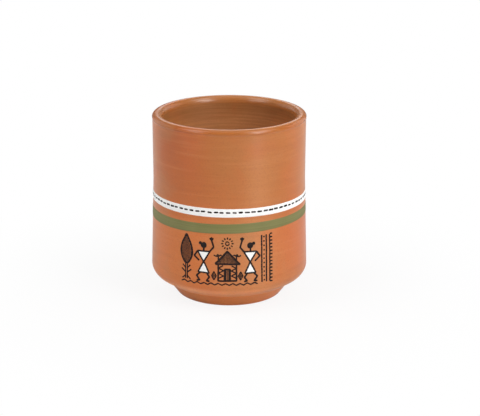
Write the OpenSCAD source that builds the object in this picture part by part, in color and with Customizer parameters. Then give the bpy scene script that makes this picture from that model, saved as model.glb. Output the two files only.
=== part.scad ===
// Handle-less red clay tea cup on a turned foot, with painted bands and a painted frieze.
// The foot stands on z = 0, the axis is Z, and the frieze faces -Y.

/* [Cup] */
// Height from the table to the top of the lip
cup_h = 90.3; // [86:0.1:104]
// Diameter at the belly, where the wall and the chamfer would meet
belly_d = 76.5; // [75:0.5:84]
// Diameter at the waist, the narrowest stretch of the wall
waist_d = 73.7; // [72:0.1:80]
// Height of the waist above the belly
waist_up = 47.2; // [45:0.2:58]
// Thickness of the wall below the lip
wall_t = 4.6; // [4:0.1:6]

/* [Lip] */
// How far the lip swells out beyond the waist
lip_swell = 0.56; // [0.1:0.02:1]
// Height of the round on the outside of the lip
lip_outer_h = 1.8; // [1:0.1:5]
// Width of the round on the outside of the lip
lip_outer_w = 2.6; // [1:0.1:3]
// Height of the round on the inside of the lip
lip_inner_h = 3.3; // [2:0.1:5]
// Height over which the wall swells into the lip
swell_h = 2; // [1:0.5:8]

/* [Foot] */
// Diameter of the foot where it stands
foot_d = 50.6; // [46:0.2:54]
// Diameter of the foot where it meets the chamfer
foot_top_d = 60.2; // [58:0.2:66]
// Height of the foot
foot_h = 6.4; // [5:0.1:9]
// Height of the chamfer between the foot and the wall
chamfer_h = 5; // [4:0.1:7]
// Radius of the round where the wall turns into the chamfer
belly_round = 6; // [3:0.1:7]
// Radius of the hollow where the chamfer meets the foot
foot_hollow = 1; // [0.4:0.1:2]
// Radius of the worn edge that the foot stands on
foot_edge = 2; // [0.4:0.1:2.4]
// Width of the ring that the foot stands on
foot_ring_w = 5.6; // [3:0.1:8]
// Depth of the turned recess inside the foot ring
recess_h = 1.8; // [1:0.1:2.5]

/* [Inside] */
// Thickness of the floor above the recess
floor_t = 6.6; // [6:0.1:9]
// Radius of the round between the floor and the wall
floor_round = 9; // [7:0.5:14]
// How much narrower the inside is, in radius, at the floor than at the lip
inside_taper = 0.7; // [0:0.1:1.5]

/* [Bands] */
// Thickness of the paint
paint_t = 0.12; // [0.08:0.02:0.3]
// Height of the lower edge of the white band above the belly
white_up = 37.1; // [35:0.1:40]
// Width of the white band
white_w = 4.1; // [3:0.1:5]
// Clay left bare between the two bands
band_gap = 3.2; // [2:0.1:5]
// Width of the green band at the front
green_w = 4.7; // [3:0.1:6]
// Lean of the upper edge of the green band, higher on the right
green_top_lean = 0.9; // [0:0.1:1]
// Lean of the lower edge of the green band, higher on the right
green_low_lean = 1.4; // [0:0.1:1.8]

/* [Stitches] */
// Number of dashes round the cup
stitch_n = 78; // [60:1:90]
// Length of one dash
stitch_l = 2.3; // [1:0.1:2.5]
// Height of one dash
stitch_w = 0.8; // [0.4:0.1:1.2]
// Height of the row of dashes above the lower edge of the white band
stitch_up = 2.3; // [1.2:0.1:2.5]

/* [Frieze] */
// Bare clay between the green band and the top of the frieze
frieze_top_gap = 0.9; // [0.8:0.1:3]
// Bare clay between the round of the belly and the foot of the frieze
frieze_low_gap = 0.3; // [0.3:0.1:3]
// Width of a pen line
pen_w = 0.7; // [0.4:0.02:0.9]
// Width of a fine pen line, as in the rays and the border
fine_pen_w = 0.5; // [0.3:0.02:0.6]
// Width of a hatching line
hatch_pen_w = 0.4; // [0.26:0.02:0.5]

/* [Hidden] */

clay = [0.78, 0.47, 0.30];
white = [0.97, 0.97, 0.96];
green = [0.49, 0.49, 0.33];
black = [0.17, 0.13, 0.13];

belly_z = foot_h + chamfer_h;
waist_z = belly_z + waist_up;
white_z = belly_z + white_up;
lip_r = waist_d / 2 + lip_swell;
lip_z = cup_h - lip_outer_h;
inside_r = waist_d / 2 - wall_t;
floor_z = recess_h + floor_t;
floor_r = inside_r - inside_taper;
recess_r = foot_d / 2 - foot_ring_w;
crest_r = lip_r - lip_outer_w;
// Slope of the side of the recess, as run over depth
recess_run = 1.2;
lip_steps = 9;
round_steps = 7;
edge_steps = 4;

function unit(v) = v / norm(v);

// Points of the arc of radius r that rounds the corner b between the lines a-b and b-c
function round_corner(a, b, c, r, n) =
    let (
        way_in = unit(b - a),
        way_out = unit(c - b),
        turn = acos(way_in * way_out),
        side = sign(cross(way_in, way_out)),
        start = b - way_in * r * tan(turn / 2),
        centre = start + r * side * [-way_in.y, way_in.x],
        first = atan2(start.y - centre.y, start.x - centre.x)
    )
    [for (i = [0 : n]) let (at = first + side * turn * i / n) centre + r * [cos(at), sin(at)]];

// Points of a quarter of an upright oval, from angle_a to angle_b
function quarter_oval(centre, half, angle_a, angle_b, n) =
    [for (i = [0 : n]) let (at = angle_a + (angle_b - angle_a) * i / n)
        [centre.x + half.x * cos(at), centre.y + half.y * sin(at)]];

// Outside of the wall, from the chamfer up to the lip
wall_outline = concat(
    round_corner([foot_top_d / 2, foot_h], [belly_d / 2, belly_z], [waist_d / 2, waist_z],
        belly_round, round_steps),
    [[waist_d / 2, waist_z]],
    [for (i = [0 : lip_steps]) [
        waist_d / 2 + lip_swell * (1 - cos(180 * i / lip_steps)) / 2,
        lip_z - swell_h * (1 - i / lip_steps)
    ]]
);

// Half section of the whole cup
cup_outline = concat(
    [[0, recess_h], [recess_r - recess_run * recess_h, recess_h]],
    round_corner([recess_r - recess_run * recess_h, recess_h], [recess_r, 0], [foot_d / 2, 0],
        foot_edge, edge_steps),
    round_corner([recess_r, 0], [foot_d / 2, 0], [foot_top_d / 2, foot_h], foot_edge, edge_steps),
    round_corner([foot_d / 2, 0], [foot_top_d / 2, foot_h], [belly_d / 2, belly_z],
        foot_hollow, edge_steps),
    wall_outline,
    [for (p = quarter_oval([crest_r, lip_z], [lip_r - crest_r, lip_outer_h], 0, 90, lip_steps))
        if (p.y > lip_z) p],
    [for (p = quarter_oval([crest_r, cup_h - lip_inner_h], [crest_r - inside_r, lip_inner_h],
        90, 180, lip_steps)) if (p.y < cup_h) p],
    round_corner([inside_r, cup_h - lip_inner_h], [floor_r, floor_z], [0, floor_z],
        floor_round, round_steps),
    [[0, floor_z]]
);

// Where the straight wall starts, above the round of the belly
wall_low = wall_outline[round_steps].y;
wall_by_height = [for (p = wall_outline) [p.y, p.x]];
// Outer radius of the clay at a height on the wall
function wall_r(z) = lookup(z, wall_by_height);

// Ring of paint from z0 to z1, lying gap off the clay and t thick, turned through the given angle
module paint_ring(z0, z1, gap, t, turn = 360) {
    heights = concat([z0], [for (p = wall_outline) if (p.y > z0 && p.y < z1) p.y], [z1]);
    last = len(heights) - 1;
    rotate_extrude(angle = turn, $fn = 180)
        polygon(concat(
            [for (z = heights) [wall_r(z) + gap + t, z]],
            [for (i = [0 : last]) [wall_r(heights[last - i]) + gap, heights[last - i]]]
        ));
}

// The fired cup: foot, chamfer, wall, lip and floor in one piece of clay
module cup_body() {
    color(clay) rotate_extrude($fn = 180) polygon(cup_outline);
}

// White band round the wall
module white_band() {
    color(white) paint_ring(white_z, white_z + white_w, 0, paint_t);
}

// Black dashes along the white band, drawn on its paint
module band_stitches() {
    stitch_z = white_z + stitch_up - stitch_w / 2;
    stitch_turn = 360 * stitch_l / (2 * PI * wall_r(stitch_z));
    color(black)
        for (i = [0 : stitch_n - 1])
            rotate([0, 0, 360 * i / stitch_n])
                paint_ring(stitch_z, stitch_z + stitch_w, paint_t, paint_t, stitch_turn);
}

green_top = white_z - band_gap;
green_low = green_top - green_w;

// Everything above a plane that crosses the axis at height z and leans up towards +X
module above(z, lean) {
    reach = belly_d;
    translate([0, 0, z]) rotate([0, -lean, 0]) translate([-reach, -reach, 0])
        cube([2 * reach, 2 * reach, reach]);
}

// Green band, whose two edges lean as a hand-banded line does
module green_band() {
    spare_top = belly_d / 2 * tan(green_top_lean) + paint_t;
    spare_low = belly_d / 2 * tan(green_low_lean) + paint_t;
    color(green) intersection() {
        difference() {
            paint_ring(green_low - spare_low, green_top + spare_top, 0, paint_t);
            above(green_top, green_top_lean);
        }
        above(green_low, green_low_lean);
    }
}

// The frieze fills the straight wall under the green band. It is drawn flat: across from the middle of the
// front, and up from its own foot.
drawing_h = 24.8;
frieze_low = wall_low + frieze_low_gap;
frieze_h = green_low - frieze_top_gap - frieze_low;
frieze_r = wall_r(frieze_low + frieze_h / 2);
drawing_scale = frieze_h / drawing_h;

// Place of a drawn point on the wall, as seen from the front
function on_front(p) = [
    frieze_r * sin(p.x * drawing_scale * 180 / (PI * frieze_r)),
    frieze_low + p.y * drawing_scale
];
function shifted(lines, at) = [for (line = lines) [for (p = line) p + at]];
function turned_round(lines) = [for (line = lines) [for (p = line) [-p.x, p.y]]];

// Pen lines with pointed ends, of the given width, along lists of drawn points
module pen(lines, width) {
    for (line = lines)
        for (i = [0 : len(line) - 2]) {
            a = on_front(line[i]);
            b = on_front(line[i + 1]);
            along = width / 2 * unit(b - a);
            across = [-along.y, along.x];
            polygon([a + across, a - along, a - across, b - across, b + along, b + across]);
        }
}

// Filled disc of ink
module blot(at, r) {
    translate(on_front(at)) circle(r * drawing_scale, $fn = 16);
}

// Wraps a flat drawing, seen from the front, as paint on the straight stretch of wall under the green band
module wall_paint() {
    intersection() {
        rotate([0, 0, 180]) paint_ring(wall_low, green_low, 0, paint_t, 180);
        rotate([90, 0, 0]) linear_extrude(belly_d) children();
    }
}

// Body of a dancer: chest and hips are two triangles that meet at the waist
dancer_waist = [0, 11.4];
chest = [dancer_waist, [-3.1, 16.5], [3.1, 16.5]];
hips = [dancer_waist, [-2.7, 5.9], [2.7, 5.9]];
dancer_head = [0.1, 19.6];
dancer_head_r = 1.5;
hair_knot = [-1.7, 20.5];
hair_knot_r = 0.8;
dancer_strokes = [
    concat(chest, [chest[0]]),
    concat(hips, [hips[0]]),
    // Neck
    [[0, 16.5], dancer_head],
    // Raised arm with open hand
    [[3.1, 16.5], [5, 18.9], [4, 22.2]],
    [[4.9, 23.5], [4, 22.2], [3.1, 23.4]],
    [[4, 22.2], [4, 23.9]],
    // Arm set on the hip
    [[-3.1, 16.5], [-4.9, 13.9], [-2.2, 11.6]],
    // Bent legs and feet
    [[-1.6, 5.9], [-3.6, 4], [-1.9, 1.9], [-3.6, 1.6]],
    [[1.5, 5.9], [2.9, 3.9], [1.6, 1.9], [3.2, 1.6]],
];
left_dancer = [-12.6, 0];
right_dancer = [10.3, 0];

// One dancer in black pen work, standing at the given place; side is -1 for one who faces left
module dancer(place, side) {
    wall_paint() {
        pen(shifted(side > 0 ? dancer_strokes : turned_round(dancer_strokes), place), pen_w);
        blot(place + [side * dancer_head.x, dancer_head.y], dancer_head_r);
        blot(place + [side * hair_knot.x, hair_knot.y], hair_knot_r);
    }
}

// Black pen work of the two dancers, who face each other across the hut
module dancer_lines() {
    color(black) {
        dancer(left_dancer, 1);
        dancer(right_dancer, -1);
    }
}

// The triangle t with its sides moved in by d
function inset(t, d) =
    let (
        a = norm(t[1] - t[2]),
        b = norm(t[2] - t[0]),
        c = norm(t[0] - t[1]),
        centre = (a * t[0] + b * t[1] + c * t[2]) / (a + b + c),
        r = abs(cross(t[1] - t[0], t[2] - t[0])) / (a + b + c)
    )
    [for (p = t) centre + (p - centre) * (1 - d / r)];

// White bodies, held inside the black outlines
module dancer_fills() {
    color(white) wall_paint()
        for (place = [left_dancer, right_dancer], shape = [chest, hips])
            polygon(inset([for (p = shape) on_front(p + place)], pen_w / 2));
}

// Hut with a thatched roof, birds on the roof and the sun above it
hut_x = -0.9;
roof_half = 6;
eaves_h = 10.6;
ridge_h = 17;
wall_half = 4.4;
wall_foot = 2.2;
door_half = 1.3;
door_h = 8;
board_gap = 0.65;
thatch_n = 8;
// How far the thatch draws in towards the ridge
thatch_draw = 0.86;
sun_at = [hut_x, 20.9];
sun_r = 1.25;
sun_eye_r = 0.55;
ray_from = 1.9;
ray_to = 3.1;
ray_n = 12;
hut_strokes = [
    [[-roof_half, eaves_h], [0, ridge_h], [roof_half, eaves_h], [-roof_half, eaves_h]],
    [[-wall_half, eaves_h], [-wall_half, wall_foot], [wall_half, wall_foot], [wall_half, eaves_h]],
    [[-door_half, wall_foot], [-door_half, door_h], [door_half, door_h], [door_half, wall_foot]],
];
thatch_strokes = [for (i = [-thatch_n : thatch_n]) let (x = i * roof_half / (thatch_n + 1))
    [[x, eaves_h],
        [x * thatch_draw, ridge_h - (ridge_h - eaves_h) * abs(x * thatch_draw) / roof_half]]];
board_strokes = [for (x = [-board_gap, 0, board_gap]) [[x, wall_foot], [x, door_h]]];
// Zigzag plaster on each side of the doorway
plaster_n = 6;
plaster_low = 3.4;
plaster_rise = 1.3;
plaster_gap = 0.6;
plaster_strokes = [for (side = [-1, 1]) [for (i = [0 : plaster_n - 1])
    [side * (i % 2 == 0 ? wall_half : door_half + plaster_gap), plaster_low + i * plaster_rise]]];
// Bird that looks up the slope of the roof: back and head, wing, leg
bird_at = [-4.4, 13.9];
bird_strokes = [
    [[-2.3, 1.1], [-1.2, 0.5], [0.2, 0.5], [0.9, 1.2], [1.7, 1]],
    [[-0.9, 0.6], [-0.3, 1.5], [0.4, 0.7]],
    [[0, 0.4], [0, -1.5]],
];
birds = concat(shifted(bird_strokes, bird_at), turned_round(shifted(bird_strokes, bird_at)));
ray_strokes = [for (i = [0 : ray_n - 1]) let (way = [cos(360 * i / ray_n), sin(360 * i / ray_n)])
    [way * ray_from, way * ray_to]];

// Black pen work of the hut, the birds and the sun
module hut_lines() {
    color(black) {
        wall_paint() {
            pen(shifted(hut_strokes, [hut_x, 0]), pen_w);
            pen(shifted(concat(plaster_strokes, birds), [hut_x, 0]), fine_pen_w);
            pen(shifted(concat(thatch_strokes, board_strokes), [hut_x, 0]), hatch_pen_w);
        }
        wall_paint() difference() {
            blot(sun_at, sun_r);
            blot(sun_at, sun_eye_r);
        }
        for (ray = ray_strokes) wall_paint() pen(shifted([ray], sun_at), fine_pen_w);
    }
}

// Tree at the left end, with a leaf-shaped crown that is widest a little below its middle
tree_x = -21.8;
crown_low = 9;
crown_top = 24.2;
crown_half = 3.3;
crown_lean = 0.8;
crown_n = 14;
crown_hatch_n = 4;
crown_hatch_gap = 0.64;
trunk_half = 0.5;
trunk_h = 9.4;
// Half width of the crown at a share t of its height, as a share of its full half width
function crown_swell(t) = sin(180 * pow(t, crown_lean));
// Place on the crown at a share t of its height, x across from its middle
function in_crown(x, t, grow = 0) =
    [x, crown_low - grow + (crown_top - crown_low + 2 * grow) * t];
// Outline of the crown as painted on the wall, grown by the given distance
function crown_edge(grow) = [
    for (side = [-1, 1], i = [0 : crown_n - 1]) let (t = side < 0 ? i / crown_n : 1 - i / crown_n)
        on_front([tree_x, 0] + in_crown(side * (crown_half + grow) * crown_swell(t), t, grow))
];
// Hatching that runs up from edge to edge of the crown
crown_hatch = [for (i = [-crown_hatch_n : crown_hatch_n])
    let (x = i * crown_hatch_gap, turn = asin(abs(x) / crown_half) / 180)
    [in_crown(x, pow(turn, 1 / crown_lean)), in_crown(x, pow(1 - turn, 1 / crown_lean))]];
// Trunk, roots and bare branches, one side of each
trunk_strokes = [
    [[trunk_half, 1.6], [trunk_half, trunk_h]],
    [[2.4, 1.5], [trunk_half, 3.2]],
    [[2.8, 6.6], [trunk_half, 4.8]],
    [[2.2, 8.6], [trunk_half, 7]],
];
// Lozenge with hatching, one on each side of the hut
lozenge_places = [[-7.4, 4.6], [5.5, 4.6]];
lozenge_strokes = [
    [[0, -2.2], [1.25, 0], [0, 2.2], [-1.25, 0], [0, -2.2]],
    [[0, -1.8], [0, 1.8]],
    [[-0.6, -1], [-0.6, 1]],
    [[0.6, -1], [0.6, 1]],
];
// Ground line with teeth, under the tree, the dancers and the hut
ground_from = -24.6;
ground_to = 14;
tooth_n = 22;
tooth_h = 0.9;
tooth = (ground_to - ground_from) / tooth_n;
ground_strokes = [[for (i = [0 : tooth_n]) [ground_from + i * tooth, i % 2 == 0 ? 0 : tooth_h]]];

// Black pen work of the tree, the lozenges and the ground line
module tree_lines() {
    color(black) {
        wall_paint() {
            difference() {
                polygon(crown_edge(pen_w / 2));
                polygon(crown_edge(-pen_w / 2));
            }
            pen(shifted(concat(trunk_strokes, turned_round(trunk_strokes)), [tree_x, 0]), fine_pen_w);
            pen(shifted(crown_hatch, [tree_x, 0]), hatch_pen_w);
        }
        for (place = lozenge_places) wall_paint() pen(shifted(lozenge_strokes, place), hatch_pen_w);
        wall_paint() pen(ground_strokes, fine_pen_w);
    }
}

// Border at the right end: a double rule with dashes between, and a comb rule
rule_left = 16.2;
rule_right = 18.7;
comb_x = 20.6;
comb_tooth = 1.6;
border_low = 0.4;
border_high = 24.2;
dash_n = 11;
dash_half = 0.5;
comb_n = 15;
border_strokes = concat(
    [for (x = [rule_left, rule_right, comb_x]) [[x, border_low], [x, border_high]]],
    [for (i = [0 : dash_n - 1]) let (h = border_low + (border_high - border_low) * (i + 0.5) / dash_n,
        x = (rule_left + rule_right) / 2) [[x, h - dash_half], [x, h + dash_half]]],
    [for (i = [0 : comb_n - 1]) let (h = border_low + (border_high - border_low) * i / (comb_n - 1))
        [[comb_x, h], [comb_x + comb_tooth, h]]]
);

// Black pen work of the border
module border_lines() {
    color(black) wall_paint()
        pen(border_strokes, fine_pen_w);
}

cup_body();
white_band();
band_stitches();
green_band();
dancer_lines();
dancer_fills();
hut_lines();
tree_lines();
border_lines();
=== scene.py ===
import math
import random

import bmesh
import bpy
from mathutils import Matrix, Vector, noise


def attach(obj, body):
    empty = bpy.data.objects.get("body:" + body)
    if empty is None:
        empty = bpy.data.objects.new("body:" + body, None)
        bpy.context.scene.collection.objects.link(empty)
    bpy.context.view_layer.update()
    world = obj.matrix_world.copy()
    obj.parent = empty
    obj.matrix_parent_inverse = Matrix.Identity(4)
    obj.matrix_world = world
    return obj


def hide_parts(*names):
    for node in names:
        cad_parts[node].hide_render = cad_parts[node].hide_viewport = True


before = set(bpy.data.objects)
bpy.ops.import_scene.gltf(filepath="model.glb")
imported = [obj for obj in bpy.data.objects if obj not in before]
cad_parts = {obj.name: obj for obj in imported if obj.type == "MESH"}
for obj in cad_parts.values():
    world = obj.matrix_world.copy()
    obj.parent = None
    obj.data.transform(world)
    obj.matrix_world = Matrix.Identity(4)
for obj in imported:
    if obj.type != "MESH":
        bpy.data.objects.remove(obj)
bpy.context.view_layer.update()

# Photographer's table: a floor of pale paper that runs out of view, and a camera a little above the
# lip of the cup. The camera sees the floor lifted to white, wholly so far from the cup and a little
# less round its foot, so that the soft shadow there stays.
mm = 0.001
camera_distance = 800 * mm
camera_rise = math.radians(17.05)
camera_lens = 122.4
camera_sensor = 36
camera_shift = (0.0224, -0.0134)
camera_nearest = 10 * mm
look_at = Vector((0, 0, 45 * mm))
floor_reach = 6.0
floor_gap = 0.05 * mm
floor_paleness = 0.88
lift_at_foot = 0.88
lift_from = 30 * mm
lift_full = 170 * mm
lift_mirrored = 0.08


def join(tree, kind, inputs, **options):
    """Adds a node with its options set, and fills or wires its inputs."""
    node = tree.nodes.new(kind)
    for option, value in options.items():
        setattr(node, option, value)
    for name, value in inputs.items():
        if isinstance(value, bpy.types.NodeSocket):
            tree.links.new(value, node.inputs[name])
        else:
            node.inputs[name].default_value = value
    return node


def floor_paper():
    """White paper, lifted to full white only where the camera looks at it."""
    paper = bpy.data.materials.new("floor_paper")
    paper.use_nodes = True
    tree = paper.node_tree
    tree.nodes.clear()
    plain = join(tree, "ShaderNodeBsdfDiffuse",
                 {"Color": (floor_paleness, floor_paleness, floor_paleness, 1)})
    place = join(tree, "ShaderNodeTexCoord", {}).outputs["Object"]
    reach = join(tree, "ShaderNodeVectorMath", {0: place}, operation='LENGTH').outputs["Value"]
    lift = join(tree, "ShaderNodeMapRange", {"Value": reach, "From Min": lift_from, "From Max": lift_full,
                                             "To Min": lift_at_foot, "To Max": 1.0},
                interpolation_type='SMOOTHSTEP')
    white = join(tree, "ShaderNodeEmission", {"Strength": 1.0})
    lifted = join(tree, "ShaderNodeMixShader",
                  {0: lift.outputs[0], 1: plain.outputs[0], 2: white.outputs[0]})
    path = join(tree, "ShaderNodeLightPath", {})
    mirrored = join(tree, "ShaderNodeMixShader",
                    {0: lift_mirrored, 1: plain.outputs[0], 2: white.outputs[0]})
    seen = join(tree, "ShaderNodeMixShader",
                {0: path.outputs["Is Glossy Ray"], 1: plain.outputs[0], 2: mirrored.outputs[0]})
    seen = join(tree, "ShaderNodeMixShader",
                {0: path.outputs["Is Camera Ray"], 1: seen.outputs[0], 2: lifted.outputs[0]})
    join(tree, "ShaderNodeOutputMaterial", {"Surface": seen.outputs[0]})
    return paper


floor_mesh = bpy.data.meshes.new("floor")
floor_shape = bmesh.new()
bmesh.ops.create_grid(floor_shape, x_segments=1, y_segments=1, size=floor_reach)
bmesh.ops.translate(floor_shape, verts=floor_shape.verts, vec=(0, 0, -floor_gap))
floor_shape.to_mesh(floor_mesh)
floor_shape.free()
floor_mesh.materials.append(floor_paper())
floor = bpy.data.objects.new("floor", floor_mesh)
bpy.context.scene.collection.objects.link(floor)

camera_data = bpy.data.cameras.new("camera")
camera_data.sensor_width = camera_sensor
camera_data.lens = camera_lens
camera_data.shift_x, camera_data.shift_y = camera_shift
camera_data.clip_start = camera_nearest
camera = bpy.data.objects.new("camera", camera_data)
bpy.context.scene.collection.objects.link(camera)
camera.location = look_at + camera_distance * Vector((0, -math.cos(camera_rise), math.sin(camera_rise)))
camera.rotation_euler = (look_at - camera.location).to_track_quat('-Z', 'Y').to_euler()
bpy.context.scene.camera = camera
bpy.context.scene.view_settings.view_transform = 'Standard'

# Studio light: soft boxes all round the cup, the strongest one to the right of the camera, with a
# narrow strip there that draws a soft line on the clay, a small low one on the left, and a room
# that is white to the camera and that the sheen of the clay picks up.
box_distance = 1.1
box_size = (0.5, 0.5)
large_box_size = (1.0, 1.0)
top_box_size = (0.7, 0.7)
strip_distance = 0.5
strip_size = (0.08, 0.3)
low_box_distance = 0.45
low_box_size = (0.4, 0.08)


def soft_box(name, turn, lift, power, distance=box_distance, size=box_size):
    """Area lamp aimed at the cup, turned to the right of the camera and lifted by degrees."""
    data = bpy.data.lights.new(name, 'AREA')
    data.shape = 'RECTANGLE'
    data.size, data.size_y = size
    data.energy = power
    lamp = bpy.data.objects.new(name, data)
    bpy.context.scene.collection.objects.link(lamp)
    lamp.visible_camera = False
    side = math.radians(turn)
    up = math.radians(lift)
    away = Vector((math.sin(side) * math.cos(up), -math.cos(side) * math.cos(up), math.sin(up)))
    lamp.location = look_at + distance * away
    lamp.rotation_euler = (-away).to_track_quat('-Z', 'Y').to_euler()


soft_box("right_box", turn=47, lift=32, power=4.95)
soft_box("right_side_box", turn=70, lift=58, power=2.7)
soft_box("right_back_box", turn=124, lift=12, power=2.7, size=large_box_size)
soft_box("right_strip", turn=40, lift=12, power=0.49, distance=strip_distance, size=strip_size)
soft_box("left_box", turn=-54, lift=32, power=2.6)
soft_box("left_high_box", turn=-80, lift=58, power=2.7)
soft_box("left_back_box", turn=-122, lift=12, power=2.1, size=large_box_size)
soft_box("left_low_box", turn=-60, lift=3, power=0.15, distance=low_box_distance, size=low_box_size)
soft_box("back_box", turn=180, lift=32, power=1.45)
soft_box("top_box", turn=0, lift=88, power=1.2, size=top_box_size)


def white_room(strength, mirrored):
    """World of faint even light, full white to the camera and grey in reflections."""
    room = bpy.data.worlds.new("white_room")
    room.use_nodes = True
    tree = room.node_tree
    tree.nodes.clear()
    path = join(tree, "ShaderNodeLightPath", {})
    level = join(tree, "ShaderNodeMix", {"Factor": path.outputs["Is Glossy Ray"],
                                         "A": strength, "B": mirrored})
    level = join(tree, "ShaderNodeMix", {"Factor": path.outputs["Is Camera Ray"],
                                         "A": level.outputs["Result"], "B": 1.0})
    light = join(tree, "ShaderNodeBackground", {"Strength": level.outputs["Result"]})
    join(tree, "ShaderNodeOutputWorld", {"Surface": light.outputs[0]})
    bpy.context.scene.world = room


white_room(strength=0.01, mirrored=0.3)

# The fired cup: foot, chamfer, wall, swollen lip and floor in one piece of red clay, thrown on a
# wheel, turned underneath when leather hard, burnished outside and fired without a glaze. Marks of
# its colours, painted sheen and light among them, are shares of the belly's radius to the right of its
# middle, or to the left.
cup_height = 90.3 * mm
foot_radius = 25.3 * mm
foot_top_radius = 30.1 * mm
foot_height = 6.4 * mm
belly_radius = 38.25 * mm
belly_height = 11.4 * mm
belly_round = 6 * mm
waist_radius = 36.95 * mm
waist_height = 58.6 * mm
neck_radius = 37.1 * mm
lip_radius = 37.3 * mm
lip_height = 88.5 * mm
swell_height = 1.3 * mm
swell_steps = 9
crest_radius = 34.81 * mm
inner_lip_height = 87 * mm
lip_steps = 14
inside_radius = 32.25 * mm
inside_floor_radius = 31.55 * mm
inside_floor_height = 8.4 * mm
inside_round = 9 * mm
recess_height = 1.8 * mm
recess_radius = 19.7 * mm
recess_top_radius = 17.54 * mm
worn_edge = 2 * mm
foot_hollow = 1 * mm
corner_steps = 8
wall_step = 1 * mm
cup_steps = 288
weld = 0.001 * mm
wobble_depth = 0.015 * mm
wobble_rise = 30 * mm
throwing_pitch = 3.4 * mm
throwing_depth = 0.02 * mm
throwing_fade = 9 * mm
throwing_change = 7 * mm
least_throwing = 0.7
throwing_spread = 0.6
streak_across = 30.0
speckle_fineness = 1500.0
cloud_fineness = 45.0
fine_streaks = 900
broad_streaks = 320
side_drift_reach = 0.9
brown_marks = (-0.45, 0, 0.35, 0.8)
painted_sheen_marks = (0.05, 0.33, 0.4, 0.62)
red_shoulder_marks = (-0.3, -0.75)
painted_edge_light_marks = (0.84, 0.94)
lower_wall = 34 * mm
upper_wall = 66 * mm
shoulder = 86 * mm
painted_sheen_heights = (90 * mm, 70 * mm)
inside_shade_heights = (74 * mm, 88 * mm)
red_shoulder_strength = 0.7
upper_painted_sheen_strength = 0.7
lower_painted_sheen_strength = 0.5
lip_shade_strength = 0.4
neck_shade_strength = 0.14
crest_wear_and_highlight_strength = 0.22
red_cloud_strength = 0.25
brown_cloud_strength = 0.4
slip_strength = 0.17
rub_strength = 0.16
burnish_strength = 0.1
dust_strength = 0.23
clay_roughness = (0.27, 0.33)
lip_roughness = 0.23
inside_roughness = 0.45
wheel_strength = 0.1
pore_strength = 0.2
mark_depth = 0.03 * mm
pore_depth = 0.02 * mm


def wall_radius(height):
    """Outside of the clay on the straight stretch of the wall, from the belly up to the waist."""
    share = (height - belly_height) / (waist_height - belly_height)
    return belly_radius + (waist_radius - belly_radius) * min(share, 1)


def hand_wobble(angle, height):
    """How far the thrower's hand left the clay inside its true circle."""
    place = Vector((math.cos(angle), math.sin(angle), height / wobble_rise))
    return wobble_depth * (noise.noise(place) - 1)


def throwing_ring(angle, height):
    """Soft spiral that the thrower's fingers leave inside, gone at the lip and at the floor."""
    fade = min(1, (lip_height - height) / throwing_fade, (height - inside_floor_height) / throwing_fade)
    change = noise.noise(Vector((0, 0, height / throwing_change)))
    depth = throwing_depth * (least_throwing + throwing_spread * change)
    return depth * max(fade, 0) * math.sin(2 * math.pi * height / throwing_pitch - angle)


def swell(share):
    """Radius of the wall where it swells from the neck into the lip."""
    return neck_radius + (lip_radius - neck_radius) * (1 - math.cos(math.pi * share)) / 2


def quarter(centre_height, reach, top, first, last):
    """Points of a quarter of an upright oval round the crest of the lip, angles in degrees."""
    points = []
    for step in range(lip_steps + 1):
        angle = math.radians(first + (last - first) * step / lip_steps)
        points.append((crest_radius + reach * math.cos(angle), centre_height + top * math.sin(angle)))
    return points


def round_off(shape, corner, radius):
    """Rounds one corner of a wire outline."""
    before, after = (edge.other_vert(corner).co - corner.co for edge in corner.link_edges)
    turn = math.pi - before.angle(after)
    bmesh.ops.bevel(shape, geom=[corner], offset=radius * math.tan(turn / 2), offset_type='OFFSET',
                    affect='VERTICES', segments=corner_steps, profile=0.5, material=-1)


def cup_outline(shape):
    """Half section of the cup as a wire, from the middle of the recess to the middle of the floor."""
    corners = [
        ((0, recess_height), 0),
        ((recess_top_radius, recess_height), worn_edge),
        ((recess_radius, 0), worn_edge),
        ((foot_radius, 0), worn_edge),
        ((foot_top_radius, foot_height), foot_hollow),
        ((belly_radius, belly_height), belly_round),
        ((waist_radius, waist_height), 0),
    ]
    for step in range(swell_steps):
        share = step / swell_steps
        corners.append(((swell(share), lip_height - swell_height * (1 - share)), 0))
    lip = quarter(lip_height, lip_radius - crest_radius, cup_height - lip_height, 0, 90)
    lip += quarter(inner_lip_height, crest_radius - inside_radius,
                   cup_height - inner_lip_height, 90, 180)[1:]
    corners += [(point, 0) for point in lip]
    corners += [
        ((inside_floor_radius, inside_floor_height), inside_round),
        ((0, inside_floor_height), 0),
    ]
    points = [shape.verts.new((x, 0, z)) for (x, z), _ in corners]
    for start, end in zip(points, points[1:]):
        shape.edges.new((start, end))
    for point, (_, radius) in zip(points, corners):
        if radius:
            round_off(shape, point, radius)
    for edge in list(shape.edges):
        cuts = int(edge.calc_length() / wall_step)
        if cuts:
            bmesh.ops.subdivide_edges(shape, edges=[edge], cuts=cuts)


def turn_on_wheel(shape, steps):
    """Spins an outline once round the axis, and closes it with its faces outwards."""
    bmesh.ops.spin(shape, geom=shape.verts[:] + shape.edges[:], cent=(0, 0, 0),
                   axis=(0, 0, 1), angle=2 * math.pi, steps=steps, use_merge=True)
    bmesh.ops.remove_doubles(shape, verts=shape.verts, dist=weld)
    bmesh.ops.recalc_face_normals(shape, faces=shape.faces)


def add_piece(name, shape, material, slot, *stands_for):
    """Makes a finished bmesh a piece of the cup, smooth all over, in place of its CAD nodes."""
    for face in shape.faces:
        face.smooth = True
    mesh = bpy.data.meshes.new(name)
    shape.to_mesh(mesh)
    shape.free()
    mesh.materials.append(material)
    piece = bpy.data.objects.new(name, mesh)
    bpy.context.scene.collection.objects.link(piece)
    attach(piece, "root")
    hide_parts(*stands_for)


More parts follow.
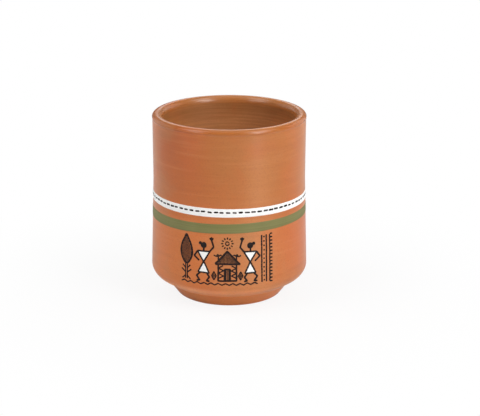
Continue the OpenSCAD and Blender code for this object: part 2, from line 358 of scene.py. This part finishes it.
def seen_colour(red, green, blue):
    """A colour as a screen shows it, each part from 0 to 255, as the light that shaders take."""
    parts = []
    for part in (red, green, blue):
        share = part / 255
        parts.append(share / 12.92 if share <= 0.04045 else ((share + 0.055) / 1.055) ** 2.4)
    return (*parts, 1)


def wheel_streaks_group():
    """Streaks that run round the axis, as a wheel or a banding brush leaves them."""
    group = bpy.data.node_groups.new("wheel_streaks", 'ShaderNodeTree')
    group.interface.new_socket("Place", in_out='INPUT', socket_type='NodeSocketVector')
    group.interface.new_socket("Fineness", in_out='INPUT', socket_type='NodeSocketFloat')
    group.interface.new_socket("Streak", in_out='OUTPUT', socket_type='NodeSocketFloat')
    source = join(group, "NodeGroupInput", {})
    stretch = join(group, "ShaderNodeCombineXYZ",
                   {"X": streak_across, "Y": streak_across, "Z": source.outputs["Fineness"]})
    pulled = join(group, "ShaderNodeVectorMath",
                  {0: source.outputs["Place"], 1: stretch.outputs[0]}, operation='MULTIPLY')
    streak = join(group, "ShaderNodeTexNoise",
                  {"Vector": pulled.outputs[0], "Scale": 1.0, "Detail": 3.0, "Roughness": 0.6})
    join(group, "NodeGroupOutput", {"Streak": streak.outputs["Fac"]})
    return group


def earth_grain_group():
    """Fine speckle and soft clouds of earth, as in clay and in chalky paint."""
    group = bpy.data.node_groups.new("earth_grain", 'ShaderNodeTree')
    group.interface.new_socket("Place", in_out='INPUT', socket_type='NodeSocketVector')
    group.interface.new_socket("Speckle", in_out='OUTPUT', socket_type='NodeSocketFloat')
    group.interface.new_socket("Cloud", in_out='OUTPUT', socket_type='NodeSocketFloat')
    source = join(group, "NodeGroupInput", {})
    speckle = join(group, "ShaderNodeTexNoise",
                   {"Vector": source.outputs["Place"], "Scale": speckle_fineness,
                    "Detail": 3.0, "Roughness": 0.7})
    cloud = join(group, "ShaderNodeTexNoise",
                 {"Vector": source.outputs["Place"], "Scale": cloud_fineness,
                  "Detail": 4.0, "Roughness": 0.5, "Distortion": 0.4})
    join(group, "NodeGroupOutput", {"Speckle": speckle.outputs["Fac"], "Cloud": cloud.outputs["Fac"]})
    return group


wheel_streaks = wheel_streaks_group()
earth_grain = earth_grain_group()


def streaks_at(tree, place, fineness):
    """Streaks of one fineness, placed in a material."""
    group = join(tree, "ShaderNodeGroup", {"Place": place, "Fineness": fineness}, node_tree=wheel_streaks)
    return group.outputs["Streak"]


def rise(tree, value, low, high):
    """A mask that climbs smoothly from 0 to 1 as the value goes from low to high."""
    ramp = join(tree, "ShaderNodeMapRange", {"Value": value, "From Min": low, "From Max": high},
                interpolation_type='SMOOTHSTEP')
    return ramp.outputs[0]


def times(tree, first, second):
    """Product of two values."""
    return join(tree, "ShaderNodeMath", {0: first, 1: second}, operation='MULTIPLY').outputs[0]


def hump(tree, value, start, full, fade, gone):
    """A mask that climbs from 0 to 1 and falls back to 0 as the value passes four marks."""
    return times(tree, rise(tree, value, start, full), rise(tree, value, gone, fade))


def blend(tree, mask, first, second):
    """Mix of two colours by a mask."""
    mixed = join(tree, "ShaderNodeMix", {"Factor": mask, "A": first, "B": second}, data_type='RGBA')
    return mixed.outputs["Result"]


def tint(tree, colour, mask, strength, second):
    """A colour with another one laid thinly over it where a mask says."""
    return blend(tree, times(tree, mask, strength), colour, second)


def level(tree, mask, first, second):
    """Mix of two plain values by a mask."""
    return join(tree, "ShaderNodeMix", {"Factor": mask, "A": first, "B": second}).outputs["Result"]


def relief(tree, shader, marks, marks_strength, grain, grain_strength):
    """Bumps a surface with the marks of the wheel or the brush, and with the grain of the earth."""
    marked = join(tree, "ShaderNodeBump",
                  {"Height": marks, "Strength": marks_strength, "Distance": mark_depth})
    grained = join(tree, "ShaderNodeBump",
                   {"Height": grain, "Normal": marked.outputs[0],
                    "Strength": grain_strength, "Distance": pore_depth})
    tree.links.new(grained.outputs[0], shader.inputs["Normal"])


def wall_and_foot_colours(tree, across, height):
    """Colours of wall, chamfer and foot that drift from red through brown left to right, with a painted
    sheen strip, painted light on the side edges and partly on the chamfer.
    """
    side_drift = rise(tree, across, -side_drift_reach * belly_radius, side_drift_reach * belly_radius)
    brown_middle = hump(tree, across, *(mark * belly_radius for mark in brown_marks))
    # Painted sheen: a pale strip right of the middle of the front, where a soft box's reflection falls.
    painted_sheen_strip = hump(tree, across, *(mark * belly_radius for mark in painted_sheen_marks))
    red_side = rise(tree, across, *(mark * belly_radius for mark in red_shoulder_marks))
    red_shoulder = times(tree, red_side, rise(tree, height, upper_wall, shoulder))

    upper = blend(tree, side_drift, seen_colour(189, 97, 32), seen_colour(187, 108, 46))
    upper = tint(tree, upper, red_shoulder, red_shoulder_strength, seen_colour(180, 86, 22))
    # Painted light: both side edges of the wall, as seen from the front, are made lighter.
    painted_edge_light_colour = blend(tree, side_drift, seen_colour(203, 103, 29), seen_colour(195, 115, 47))
    for side in (-1, 1):
        edge = rise(tree, across, *(side * mark * belly_radius for mark in painted_edge_light_marks))
        upper = blend(tree, edge, upper, painted_edge_light_colour)
    upper = blend(tree, brown_middle, upper, seen_colour(182, 109, 50))
    upper_painted_sheen = times(tree, painted_sheen_strip, rise(tree, height, *painted_sheen_heights))
    upper = tint(tree, upper, upper_painted_sheen, upper_painted_sheen_strength, seen_colour(194, 121, 62))

    lower = blend(tree, side_drift, seen_colour(209, 115, 47), seen_colour(200, 105, 44))
    lower = blend(tree, brown_middle, lower, seen_colour(200, 121, 64))
    # Painted sheen on the lower wall, in the same strip.
    lower = tint(tree, lower, painted_sheen_strip, lower_painted_sheen_strength, seen_colour(207, 131, 75))
    wall = blend(tree, rise(tree, height, upper_wall, lower_wall), upper, lower)

    # The chamfer is paler partly as turned clay and partly as painted light from below.
    chamfer = blend(tree, side_drift, seen_colour(231, 149, 89), seen_colour(221, 136, 75))
    foot = blend(tree, side_drift, seen_colour(200, 117, 49), seen_colour(212, 122, 54))
    turned = blend(tree, rise(tree, height, foot_height - 1 * mm, foot_height + 1 * mm), foot, chamfer)
    below_belly = rise(tree, height, belly_height + 1.5 * mm, belly_height - 1 * mm)
    return blend(tree, below_belly, wall, turned)


def lip_colour(tree, outside, lip, reach, height):
    """Colours of the outside with those of the lip: painted shade on the neck and the outer face, a
    browner inside, and a crest lighter partly by wear and partly by a painted highlight.
    """
    # Painted shade: the outer face of the lip is darkened.
    shaded_outer_lip = times(tree, lip, rise(tree, reach, crest_radius + 0.4 * mm, crest_radius + 1.4 * mm))
    colour = tint(tree, outside, shaded_outer_lip, lip_shade_strength, seen_colour(175, 97, 38))
    inner_lip = times(tree, rise(tree, height, inner_lip_height - 1 * mm, inner_lip_height),
                      rise(tree, reach, crest_radius, crest_radius - 1.3 * mm))
    colour = blend(tree, inner_lip, colour, seen_colour(184, 114, 58))
    # Painted shade: a dark line under the swell of the lip.
    neck = hump(tree, height, lip_height - 1.1 * mm, lip_height - 0.6 * mm,
                lip_height - 0.2 * mm, lip_height + 0.3 * mm)
    colour = tint(tree, colour, neck, neck_shade_strength, seen_colour(150, 78, 32))
    # The crest is lighter partly as wear and partly as a painted highlight.
    crest = rise(tree, height, cup_height - 0.6 * mm, cup_height - 0.1 * mm)
    return tint(tree, colour, crest, crest_wear_and_highlight_strength, seen_colour(210, 144, 88))


def terracotta():
    """Burnished red clay: colours that drift round the wall, painted light and shade on wall, lip and
    inside, clouds, streaks, rubs and dust.
    """
    clay = bpy.data.materials.new("terracotta")
    clay.use_nodes = True
    tree = clay.node_tree
    shader = tree.nodes["Principled BSDF"]
    place = join(tree, "ShaderNodeTexCoord", {}).outputs["Object"]
    grain = join(tree, "ShaderNodeGroup", {"Place": place}, node_tree=earth_grain)
    speckle, cloud = grain.outputs["Speckle"], grain.outputs["Cloud"]
    streak = streaks_at(tree, place, fine_streaks)
    broad_streak = streaks_at(tree, place, broad_streaks)
    parts = join(tree, "ShaderNodeSeparateXYZ", {0: place})
    height = parts.outputs["Z"]
    flat = join(tree, "ShaderNodeVectorMath", {0: place, 1: (1, 1, 0)}, operation='MULTIPLY')
    reach = join(tree, "ShaderNodeVectorMath", {0: flat.outputs[0]}, operation='LENGTH').outputs["Value"]
    inside = times(tree, rise(tree, reach, inside_radius + 1.2 * mm, inside_radius + 0.3 * mm),
                   rise(tree, height, inside_floor_height - 0.8 * mm, inside_floor_height - 0.4 * mm))
    inside = times(tree, inside,
                   rise(tree, height, inner_lip_height + 0.5 * mm, inner_lip_height - 0.7 * mm))
    lip = rise(tree, height, lip_height - 1 * mm, lip_height + 0.2 * mm)

    outside_colour = wall_and_foot_colours(tree, parts.outputs["X"], height)
    outside_colour = lip_colour(tree, outside_colour, lip, reach, height)
    # Painted light and shade inside: darker near the lip and lighter lower down.
    inside_shade_near_lip = rise(tree, height, *inside_shade_heights)
    inside_colour = blend(tree, inside_shade_near_lip, seen_colour(203, 138, 86), seen_colour(166, 107, 58))
    ringed_colour = blend(tree, inside_shade_near_lip, seen_colour(191, 127, 77), seen_colour(157, 99, 52))
    inside_colour = blend(tree, rise(tree, streak, 0.4, 0.62), ringed_colour, inside_colour)
    colour = blend(tree, inside, outside_colour, inside_colour)

    red_cloud = rise(tree, cloud, 0.5, 0.3)
    colour = tint(tree, colour, red_cloud, red_cloud_strength, seen_colour(204, 96, 36))
    brown_cloud = rise(tree, cloud, 0.5, 0.7)
    colour = tint(tree, colour, brown_cloud, brown_cloud_strength, seen_colour(182, 124, 74))
    slip = rise(tree, broad_streak, 0.48, 0.3)
    colour = tint(tree, colour, slip, slip_strength, seen_colour(212, 138, 84))
    rub = rise(tree, broad_streak, 0.5, 0.68)
    colour = tint(tree, colour, rub, rub_strength, seen_colour(168, 88, 40))
    burnish = rise(tree, streak, 0.5, 0.72)
    colour = tint(tree, colour, burnish, burnish_strength, seen_colour(226, 150, 92))
    dust = rise(tree, speckle, 0.48, 0.7)
    colour = tint(tree, colour, dust, dust_strength, seen_colour(140, 76, 40))
    tree.links.new(colour, shader.inputs["Base Color"])

    rough = level(tree, streak, *clay_roughness)
    rough = level(tree, lip, rough, lip_roughness)
    rough = level(tree, inside, rough, inside_roughness)
    tree.links.new(rough, shader.inputs["Roughness"])
    relief(tree, shader, streak, wheel_strength, speckle, pore_strength)
    return clay


cup_shape = bmesh.new()
cup_outline(cup_shape)
turn_on_wheel(cup_shape, cup_steps)
for point in cup_shape.verts:
    reach = math.hypot(point.co.x, point.co.y)
    angle = math.atan2(point.co.y, point.co.x)
    if reach > inside_radius + 0.1 * mm or point.co.z < inside_floor_height:
        shift = hand_wobble(angle, point.co.z)
    else:
        shift = throwing_ring(angle, point.co.z)
    if reach > recess_radius:
        point.co.x *= 1 + shift / reach
        point.co.y *= 1 + shift / reach
add_piece("clay_cup", cup_shape, terracotta(), "terracotta", "cup_body")

# White and olive bands: matt earth paint laid on with a flat brush while the cup turns on a banding
# wheel. The white one runs true, and the two edges of the olive one lean as the hand drifted. A
# band is made evenly on a plain ring first, and then each point is moved to its place on the wall.
paint_lift = 0.1 * mm
paint_root = 0.04 * mm
paint_edge = 0.12
film_edge = [(-paint_root, 0), (0.3 * paint_lift, 0.01), (0.8 * paint_lift, 0.4 * paint_edge)]
band_steps = 360
band_rows = 6
band_unit = 4 * mm
white_low = 48.5 * mm
white_high = 52.6 * mm
olive_low = 40.6 * mm
olive_high = 45.3 * mm
olive_low_lean = math.radians(1.4)
olive_high_lean = math.radians(0.9)
slow_drift = 0.09
slow_turns = 1.3
quick_drift = 0.035
quick_turns = 26
upper_edge_seed = 5
cloud_share = 0.4
thin_until = 0.36
thick_from = 0.6
roughness_spread = 0.08
brush_strength = 0.3
chalk_strength = 0.3


def brush_edge(angle, turn):
    """Small drift of a banded edge, up or down, with the hand and with the hairs of the brush."""
    slow = noise.noise(Vector((slow_turns * math.cos(angle), slow_turns * math.sin(angle), turn)))
    quick = noise.noise(Vector((quick_turns * math.cos(angle), quick_turns * math.sin(angle), turn)))
    return (slow_drift * slow + quick_drift * quick) * mm


def painted_band(low, low_lean, high, high_lean, seed):
    """Film of paint round the wall between two heights, with rounded edges and a root in the clay."""
    band = bmesh.new()
    section = list(film_edge)
    for row in range(band_rows + 1):
        section.append((paint_lift, paint_edge + (1 - 2 * paint_edge) * row / band_rows))
    section += [(lift, 1 - share) for lift, share in reversed(film_edge)]
    points = [band.verts.new((waist_radius + lift, 0, share * band_unit)) for lift, share in section]
    for start, end in zip(points, points[1:] + points[:1]):
        band.edges.new((start, end))
    turn_on_wheel(band, band_steps)
    for point in band.verts:
        angle = math.atan2(point.co.y, point.co.x)
        lift = math.hypot(point.co.x, point.co.y) - waist_radius
        share = point.co.z / band_unit
        side = wall_radius(low) * math.cos(angle)
        foot = low + side * math.tan(low_lean) + brush_edge(angle, seed)
        head = high + side * math.tan(high_lean) + brush_edge(angle, seed + upper_edge_seed)
        height = foot + (head - foot) * share
        out = wall_radius(height) + hand_wobble(angle, height) + lift
        point.co = (out * math.cos(angle), out * math.sin(angle), height)
    return band


def earth_paint(name, thin, thick, roughness, sheen, fineness):
    """Matt earth paint, streaky where the brush ran thin and a little chalky."""
    paint = bpy.data.materials.new(name)
    paint.use_nodes = True
    tree = paint.node_tree
    shader = tree.nodes["Principled BSDF"]
    place = join(tree, "ShaderNodeTexCoord", {}).outputs["Object"]
    grain = join(tree, "ShaderNodeGroup", {"Place": place}, node_tree=earth_grain)
    speckle, cloud = grain.outputs["Speckle"], grain.outputs["Cloud"]
    streak = streaks_at(tree, place, fineness)
    load = level(tree, cloud_share, streak, cloud)
    colour = blend(tree, rise(tree, load, thin_until, thick_from), thin, thick)
    tree.links.new(colour, shader.inputs["Base Color"])
    rough = level(tree, speckle, roughness - roughness_spread, roughness + roughness_spread)
    tree.links.new(rough, shader.inputs["Roughness"])
    shader.inputs["Specular IOR Level"].default_value = sheen
    relief(tree, shader, streak, brush_strength, speckle, chalk_strength)
    return paint


white_paint = earth_paint("white_paint", thin=seen_colour(246, 245, 243), thick=seen_colour(251, 251, 249),
                          roughness=0.6, sheen=0.5, fineness=3500)
olive_paint = earth_paint("olive_paint", thin=seen_colour(115, 113, 62), thick=seen_colour(126, 123, 71),
                          roughness=0.6, sheen=0.5, fineness=3000)
white_film = painted_band(white_low, 0, white_high, 0, seed=1)
olive_film = painted_band(olive_low, olive_low_lean, olive_high, olive_high_lean, seed=2)
add_piece("white_band_paint", white_film, white_paint, "white_paint", "white_band")
add_piece("olive_band_paint", olive_film, olive_paint, "green_paint", "green_band")

# Row of short dashes along the white band, as running stitch: black paint, each dash one touch of
# a fine brush, so that no two are quite alike. Drawings are made flat, in mm, and then wrapped round
# the wall.
dash_count = 78
dash_length = 2.35
dash_width = 0.95
dash_above = 2.34
dash_lift = 0.7 * paint_lift
start_drift = 0.16
length_drift = (-0.3, 0.35)
height_drift = 0.09
tilt_drift = 0.12
width_drift = (0.82, 1.08)
stroke_step = 0.16
least_steps = 6
stroke_rows = 4
stroke_swell = 0.22
swell_rate = 1.3
least_end = 0.15
edge_lift = 0.25
least_load = 0.75
stray = 0.13
stray_span = 4
stray_seed = 3
black_lift = 0.1 * mm
drawn = 0.989 * mm
hand_seed = 7
hand = random.Random(hand_seed)
noise.seed_set(hand_seed)


def along_path(points):
    """Evenly spaced places on a broken line, with its corners rounded as a brush turns them."""
    legs = [(end - start).length for start, end in zip(points, points[1:])]
    count = max(least_steps, math.ceil(sum(legs) / stroke_step))
    path = []
    for step in range(count + 1):
        left = sum(legs) * step / count
        leg = 0
        while leg < len(legs) - 1 and left > legs[leg]:
            left -= legs[leg]
            leg += 1
        path.append(points[leg].lerp(points[leg + 1], min(left / legs[leg], 1)))
    return [
        (before + 2 * here + after) / 4
        for before, here, after in zip(path[:1] + path, path, path[1:] + path[-1:])
    ]


def strayed(x, y):
    """How far the hand strays at a place of the drawing, across and up."""
    drift = noise.noise_vector(Vector((x / stray_span, y / stray_span, stray_seed)))
    return stray * drift.x, stray * drift.y


def brush_stroke(drawing, line, width):
    """Adds one stroke of a loaded brush to a flat drawing: round at its ends, fuller in its middle."""
    path = along_path([Vector(point) for point in line])
    count = len(path) - 1
    length = sum((end - start).length for start, end in zip(path, path[1:]))
    sheet = bmesh.ops.create_grid(drawing, x_segments=count, y_segments=stroke_rows, size=0.5)["verts"]
    seed = hand.uniform(0, 50)
    load = hand.uniform(least_load, 1)
    for point in sheet:
        step = round((point.co.x + 0.5) * count)
        across = 2 * point.co.y
        here = path[step]
        way = (path[min(step + 1, count)] - path[max(step - 1, 0)]).normalized()
        change = noise.noise(Vector((swell_rate * length * step / count, seed, 0)))
        half = width / 2 * (1 + stroke_swell * change)
        end = min(step, count - step) * length / count
        if end < half:
            half *= max(math.sqrt(1 - (1 - end / half) ** 2), least_end)
        stray_across, stray_up = strayed(here.x, here.y)
        x = here.x - way.y * across * half + stray_across
        y = here.y + way.x * across * half + stray_up
        crown = edge_lift + (1 - edge_lift) * (1 - across ** 4)
        point.co = (x * drawn, y * drawn, black_lift * load * crown)


def give_root(drawing):
    """Closes a flat drawing with an underside that is rooted in the clay."""
    under = bmesh.ops.extrude_face_region(drawing, geom=drawing.faces[:], use_keep_orig=True)["geom"]
    for part in under:
        if isinstance(part, bmesh.types.BMVert):
            part.co.z = -paint_root
    bmesh.ops.recalc_face_normals(drawing, faces=drawing.faces)


def wrap(drawing, foot, lift=0):
    """Wraps a flat drawing round the wall, across from the front and up from its foot."""
    rolled_at = wall_radius(foot)
    for point in drawing.verts:
        angle = point.co.x / rolled_at - math.pi / 2
        height = foot + point.co.y
        out = wall_radius(height) + hand_wobble(angle, height) + lift + point.co.z
        point.co = (out * math.cos(angle), out * math.sin(angle), height)


black_paint = earth_paint("black_paint", thin=seen_colour(38, 22, 17), thick=seen_colour(26, 16, 13),
                          roughness=0.65, sheen=0.25, fineness=1500)
dashes = bmesh.new()
dash_pitch = 2 * math.pi * wall_radius(white_low) / drawn / dash_count
for dash in range(dash_count):
    start = (dash - 0.5) * dash_pitch + hand.uniform(-start_drift, start_drift)
    end = start + dash_length + hand.uniform(*length_drift)
    start_up = dash_above + hand.uniform(-height_drift, height_drift)
    end_up = start_up + hand.uniform(-tilt_drift, tilt_drift)
    brush_stroke(dashes, [(start, start_up), (end, end_up)], dash_width * hand.uniform(*width_drift))
give_root(dashes)
wrap(dashes, white_low, dash_lift)
add_piece("stitch_dashes", dashes, black_paint, "black_paint", "band_stitches")

# Two dancers, drawn with a fine brush in black: hourglass bodies, round heads with a knot of hair,
# one arm raised and one on the hip. The bodies are filled with white before the outline goes round.
pen_width = 0.92
fine_width = 0.68
hatch_width = 0.46
frieze_foot = 15.17 * mm
waist = (0, 11.4)
chest = [waist, (-3.1, 16.5), (3.1, 16.5), waist]
hips = [waist, (-2.7, 5.9), (2.7, 5.9), waist]
dancer_lines = [
    chest,
    hips,
    [(0, 16.5), (0.1, 19.6)],
    [(3.1, 16.5), (5, 18.9), (4, 22.2)],
    [(4.9, 23.5), (4, 22.2), (3.1, 23.4)],
    [(4, 22.2), (4, 23.9)],
    [(-3.1, 16.5), (-4.9, 13.9), (-2.2, 11.6)],
    [(-1.6, 5.9), (-3.6, 4), (-1.9, 1.9), (-3.6, 1.6)],
    [(1.5, 5.9), (2.9, 3.9), (1.6, 1.9), (3.2, 1.6)],
]
head = (0.1, 19.6)
head_radius = 1.5
hair_knot = (-1.7, 20.5)
hair_knot_radius = 0.8
dancers = [(-12.6, 1), (10.3, -1)]
blot_sides = 28
blot_bulge = 0.07
blot_bulges = 1.4
blot_rings = [(0.12, 0.75), (0.3, 0.95), (0.4, 1)]
fill_cuts = 11
fill_lift = 0.55 * paint_lift


def moved(line, across, up=0, side=1):
    """A drawn line set down elsewhere, turned to face left where side is -1."""
    return [(side * x + across, y + up) for x, y in line]


def blot(drawing, centre, radius):
    """Round blot of paint, full in the middle, with an edge that isn't quite true."""
    rim = bmesh.ops.create_circle(drawing, cap_ends=True, segments=blot_sides, radius=radius)["verts"]
    for point in rim:
        change = noise.noise(point.co * blot_bulges / radius + Vector((*centre, 0)))
        point.co *= 1 + blot_bulge * change
        point.co.z = edge_lift
    disc = rim[0].link_faces[0]
    for inward, lift in blot_rings:
        bmesh.ops.inset_region(drawing, faces=[disc], thickness=inward * radius, use_even_offset=True)
        for point in disc.verts:
            point.co.z = lift
    points = set(rim)
    grown = {other for point in rim for face in point.link_faces for other in face.verts}
    while not grown <= points:
        points |= grown
        grown = {other for point in points for face in point.link_faces for other in face.verts}
    for point in points:
        point.co = ((point.co.x + centre[0]) * drawn, (point.co.y + centre[1]) * drawn,
                    black_lift * point.co.z)


def fill_shape(drawing, outline):
    """Flat patch of paint, cut fine enough to follow the round of the wall."""
    patch = drawing.faces.new([drawing.verts.new((x, y, 0)) for x, y in outline])
    bmesh.ops.subdivide_edges(drawing, edges=patch.edges[:], cuts=fill_cuts, use_grid_fill=True)


dancer_ink = bmesh.new()
body_paint = bmesh.new()
for across, side in dancers:
    for line in dancer_lines:
        brush_stroke(dancer_ink, moved(line, across, 0, side), pen_width)
    blot(dancer_ink, (across + side * head[0], head[1]), head_radius)
    blot(dancer_ink, (across + side * hair_knot[0], hair_knot[1]), hair_knot_radius)
    for shape in (chest, hips):
        fill_shape(body_paint, moved(shape[:3], across, 0, side))
for point in body_paint.verts:
    stray_across, stray_up = strayed(point.co.x, point.co.y)
    point.co = ((point.co.x + stray_across) * drawn, (point.co.y + stray_up) * drawn, fill_lift)
for drawing in (dancer_ink, body_paint):
    give_root(drawing)
    wrap(drawing, frieze_foot)
add_piece("dancer_brushwork", dancer_ink, black_paint, "black_paint", "dancer_lines")
add_piece("dancer_bodies", body_paint, white_paint, "white_paint", "dancer_fills")

# Hut with a thatched roof and zigzag plaster, two birds on the thatch, and the sun above, in the
# same black paint. The thatch and the boards of the door are hatched with a finer brush.
hut_across = -0.9
roof_half = 6
eaves = 10.6
ridge = 17
hut_half = 4.4
hut_foot = 2.2
door_half = 1.3
door_head = 8
thatch_count = 8
thatch_draw = 0.86
board_gap = 0.65
plaster_turns = 6
plaster_from_door = 0.6
plaster_foot = 3.4
plaster_step = 1.3
bird_across = -4.4
bird_up = 13.9
sun_up = 20.9
sun_radius = 0.9
sun_width = 0.58
sun_sides = 16
ray_from = 1.9
ray_to = 3.1
ray_count = 12
hut_walls = [
    [(-roof_half, eaves), (0, ridge), (roof_half, eaves), (-roof_half, eaves)],
    [(-hut_half, eaves), (-hut_half, hut_foot), (hut_half, hut_foot), (hut_half, eaves)],
    [(-door_half, hut_foot), (-door_half, door_head), (door_half, door_head), (door_half, hut_foot)],
]
bird = [
    [(-2.3, 1.1), (-1.2, 0.5), (0.2, 0.5), (0.9, 1.2), (1.7, 1)],
    [(-0.9, 0.6), (-0.3, 1.5), (0.4, 0.7)],
    [(0, 0.4), (0, -1.5)],
]


def roof_height(across):
    """Height of the roof's slope at a distance from its middle."""
    return ridge - (ridge - eaves) * abs(across) / roof_half


def ring_point(radius, angle):
    """Place on a circle round the middle of the sun."""
    return (hut_across + radius * math.cos(angle), sun_up + radius * math.sin(angle))


hut_ink = bmesh.new()
for line in hut_walls:
    brush_stroke(hut_ink, moved(line, hut_across), pen_width)
for straw in range(-thatch_count, thatch_count + 1):
    low = straw * roof_half / (thatch_count + 1)
    high = low * thatch_draw
    brush_stroke(hut_ink, moved([(low, eaves), (high, roof_height(high))], hut_across), hatch_width)
for board in (-board_gap, 0, board_gap):
    brush_stroke(hut_ink, moved([(board, hut_foot), (board, door_head)], hut_across), hatch_width)
for side in (-1, 1):
    plaster = []
    for turn in range(plaster_turns):
        across = door_half + plaster_from_door if turn % 2 else hut_half
        plaster.append((across, plaster_foot + plaster_step * turn))
    brush_stroke(hut_ink, moved(plaster, hut_across, 0, side), fine_width)
    for line in bird:
        perched = moved(line, bird_across, bird_up)
        brush_stroke(hut_ink, moved(perched, hut_across, 0, side), fine_width)
corners = [2 * math.pi * corner / sun_sides for corner in range(sun_sides + 1)]
brush_stroke(hut_ink, [ring_point(sun_radius, angle) for angle in corners], sun_width)
for ray in range(ray_count):
    angle = 2 * math.pi * ray / ray_count
    brush_stroke(hut_ink, [ring_point(ray_from, angle), ring_point(ray_to, angle)], fine_width)
give_root(hut_ink)
wrap(hut_ink, frieze_foot)
add_piece("hut_brushwork", hut_ink, black_paint, "black_paint", "hut_lines")

# Tree with a hatched, leaf-shaped crown, two hatched lozenges beside the hut, and the zigzag ground
# line that carries them all, in the same black paint.
tree_across = -21.8
crown_low = 9
crown_high = 24.2
crown_half = 3.3
crown_lean = 0.8
crown_steps = 14
crown_hatches = 4
crown_hatch_gap = 0.64
trunk = [
    [(0.5, 1.6), (0.5, 9.4)],
    [(2.4, 1.5), (0.5, 3.2)],
    [(2.8, 6.6), (0.5, 4.8)],
    [(2.2, 8.6), (0.5, 7)],
]
lozenge = [
    [(0, -2.2), (1.25, 0), (0, 2.2), (-1.25, 0), (0, -2.2)],
    [(0, -1.8), (0, 1.8)],
    [(-0.6, -1), (-0.6, 1)],
    [(0.6, -1), (0.6, 1)],
]
lozenge_places = [(-7.4, 4.6), (5.5, 4.6)]
ground_from = -24.6
ground_to = 14
ground_teeth = 22
tooth_height = 0.9


def in_crown(across, share):
    """Place in the crown at a share of its height."""
    return (across, crown_low + (crown_high - crown_low) * share)


tree_ink = bmesh.new()
for side in (-1, 1):
    edge = []
    for step in range(crown_steps + 1):
        share = step / crown_steps
        edge.append(in_crown(side * crown_half * math.sin(math.pi * share ** crown_lean), share))
    brush_stroke(tree_ink, moved(edge, tree_across), pen_width)
    for line in trunk:
        brush_stroke(tree_ink, moved(line, tree_across, 0, side), fine_width)
for hatch in range(-crown_hatches, crown_hatches + 1):
    across = hatch * crown_hatch_gap
    turn = math.asin(abs(across) / crown_half) / math.pi
    low = in_crown(across, turn ** (1 / crown_lean))
    high = in_crown(across, (1 - turn) ** (1 / crown_lean))
    brush_stroke(tree_ink, moved([low, high], tree_across), hatch_width)
for across, up in lozenge_places:
    for line in lozenge:
        brush_stroke(tree_ink, moved(line, across, up), hatch_width)
tooth = (ground_to - ground_from) / ground_teeth
ground = [(ground_from + tooth * turn, tooth_height * (turn % 2)) for turn in range(ground_teeth + 1)]
brush_stroke(tree_ink, ground, fine_width)
give_root(tree_ink)
wrap(tree_ink, frieze_foot)
add_piece("tree_brushwork", tree_ink, black_paint, "black_paint", "tree_lines")

# Border at the right end: two upright rules with a row of dashes between them, and a comb, in the
# same black paint.
rule_left = 16.2
rule_right = 18.7
comb_across = 20.6
comb_tooth = 1.6
border_foot = 0.4
border_head = 24.2
border_dashes = 11
border_dash_half = 0.5
border_width = 0.8
comb_teeth = 15

border_ink = bmesh.new()
for across in (rule_left, rule_right, comb_across):
    brush_stroke(border_ink, [(across, border_foot), (across, border_head)], border_width)
for dash in range(border_dashes):
    up = border_foot + (border_head - border_foot) * (dash + 0.5) / border_dashes
    middle = (rule_left + rule_right) / 2
    line = [(middle, up - border_dash_half), (middle, up + border_dash_half)]
    brush_stroke(border_ink, line, border_width)
for tooth in range(comb_teeth):
    up = border_foot + (border_head - border_foot) * tooth / (comb_teeth - 1)
    brush_stroke(border_ink, [(comb_across, up), (comb_across + comb_tooth, up)], border_width)
give_root(border_ink)
wrap(border_ink, frieze_foot)
add_piece("border_brushwork", border_ink, black_paint, "black_paint", "border_lines")
